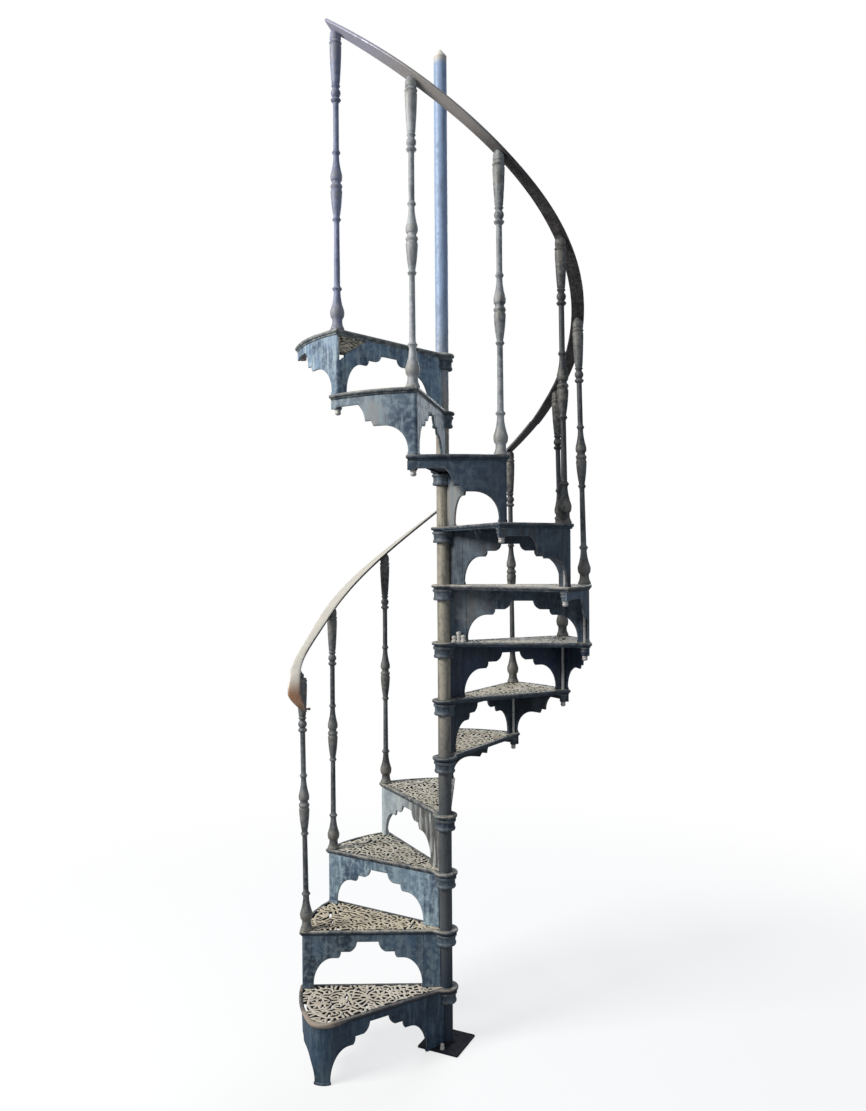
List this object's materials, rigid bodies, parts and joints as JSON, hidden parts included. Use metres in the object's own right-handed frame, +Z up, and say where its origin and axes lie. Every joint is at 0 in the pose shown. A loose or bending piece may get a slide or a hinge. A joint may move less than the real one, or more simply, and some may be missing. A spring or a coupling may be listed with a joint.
{
  "type": "spiral staircase",
  "caption": "Clockwise spiral stair with pierced wedge treads, stepped-arch risers and strings, turned balusters and a helical handrail around a slim column.",
  "frame": {"origin": "underside of the base plate, on the column's axis, at floor level", "axes": "+Z up along the column; the bottom riser runs out at 212 degrees from +X, seen from above, and the stair climbs clockwise"},
  "size_m": [1.1094, 1.07, 3.636],
  "materials": {
    "base_iron": "dark painted iron, worn",
    "column_paint": "worn grey-green paint, tan patches, bluish above",
    "cap_metal": "cream paint",
    "casting_paint": "worn slate-blue paint with pale streaks",
    "tread_iron": "paint worn to pale cream and tan, rust tint, dark edges",
    "baluster_paint": "worn dark grey-blue paint",
    "nut_metal": "dull bare metal",
    "rail_metal": "grey-brown worn metal, copper brown at the lower end"
  },
  "bodies": {
    "root": {"base_plate": "base_iron", "centre_column": "column_paint", "column_cap": "cap_metal", "hub_collars": "casting_paint", "tread_01": "tread_iron", "tread_02": "tread_iron", "tread_03": "tread_iron", "tread_04": "tread_iron", "tread_05": "tread_iron", "tread_06": "tread_iron", "tread_07": "tread_iron", "tread_08": "tread_iron", "tread_09": "tread_iron", "tread_10": "tread_iron", "tread_11": "tread_iron", "tread_12": "tread_iron", "bracket_01": "casting_paint", "bracket_02": "casting_paint", "bracket_03": "casting_paint", "bracket_04": "casting_paint", "bracket_05": "casting_paint", "bracket_06": "casting_paint", "bracket_07": "casting_paint", "bracket_08": "casting_paint", "bracket_09": "casting_paint", "bracket_10": "casting_paint", "bracket_11": "casting_paint", "bracket_12": "casting_paint", "baluster_02": "baluster_paint", "baluster_03": "baluster_paint", "baluster_04": "baluster_paint", "baluster_05": "baluster_paint", "baluster_06": "baluster_paint", "baluster_07": "baluster_paint", "baluster_08": "baluster_paint", "baluster_09": "baluster_paint", "baluster_10": "baluster_paint", "baluster_11": "baluster_paint", "baluster_12": "baluster_paint", "rod_nuts": "nut_metal", "handrail": "rail_metal"}
  },
  "joints": []
}
